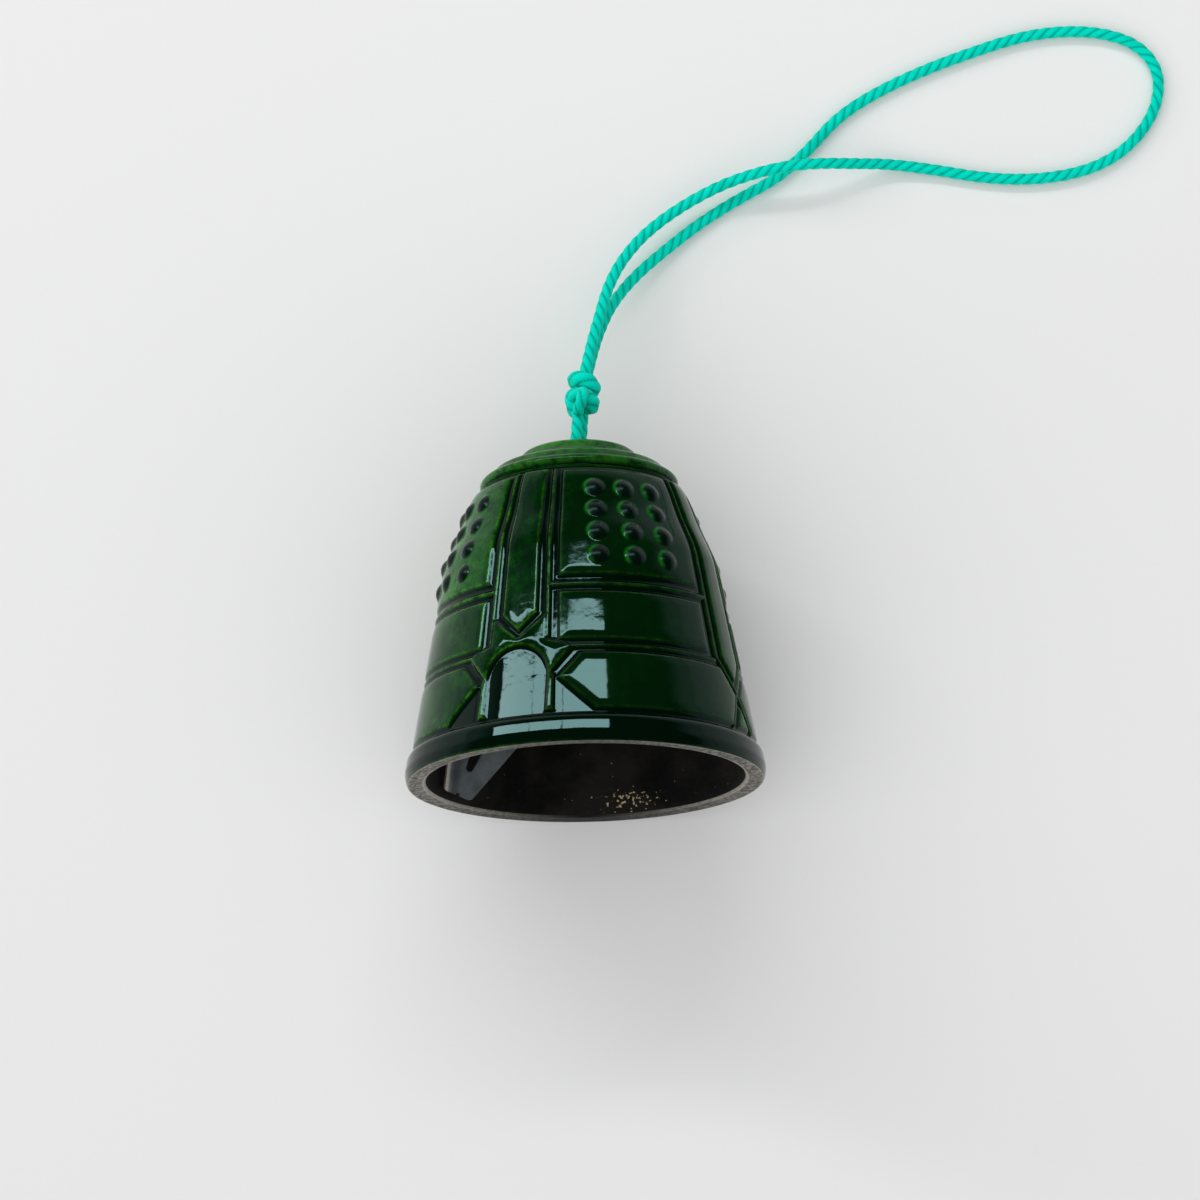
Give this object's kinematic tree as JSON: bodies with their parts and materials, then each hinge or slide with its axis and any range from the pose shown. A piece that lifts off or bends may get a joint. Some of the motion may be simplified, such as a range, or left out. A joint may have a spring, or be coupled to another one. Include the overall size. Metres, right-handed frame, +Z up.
{
  "type": "wind bell",
  "caption": "Small cast wind bell on its side: panelled and studded shell, pierced crown, knotted hanging cord loop, flat sheet clapper inside.",
  "frame": {"origin": "on the table under the middle of the bell's box, as the bell lies on its side", "axes": "+Y from the mouth towards the crown, level; +Z up; +X to the right seen from the mouth's side"},
  "size_m": [0.1256, 0.1291, 0.0552],
  "materials": {
    "lacquered_iron": "glossy translucent green lacquer over black outside, bare rim, dark matt inside",
    "twisted_cord": "turquoise three-strand twisted cord, soft sheen",
    "sheet_metal": "satin grey"
  },
  "bodies": {
    "bell": {"bell_shell": "lacquered_iron", "crown_cord": "twisted_cord", "stop_knot": "twisted_cord"},
    "cord_neck": {"neck_cord": "twisted_cord", "loop_knot": "twisted_cord"},
    "loop": {"hanging_loop": "twisted_cord"},
    "clapper_string": {"clapper_cord": "twisted_cord", "clapper_knot": "twisted_cord"},
    "clapper": {"clapper_plate": "sheet_metal"}
  },
  "joints": [
    {"name": "cord_swing", "type": "hinge", "parent": "bell", "child": "cord_neck", "pos_m": [0, 0.0295, 0.01818], "axis": [0, 0, 1], "range_deg": [-45, 70]},
    {"name": "loop_lift", "type": "hinge", "parent": "cord_neck", "child": "loop", "pos_m": [0.00073, 0.0383, 0.01584], "axis": [1, 0, 0], "range_deg": [0, 100]},
    {"name": "clapper_swing", "type": "hinge", "parent": "bell", "child": "clapper_string", "pos_m": [0, 0.01794, 0.02027], "axis": [-0.4321, 0.1603, 0.8875], "range_deg": [0, 43]},
    {"name": "clapper_tip", "type": "hinge", "parent": "clapper_string", "child": "clapper", "pos_m": [-0.01336, -0.01063, 0.01893], "axis": [-0.864, 0.3891, 0.3196], "range_deg": [0, 22]}
  ]
}
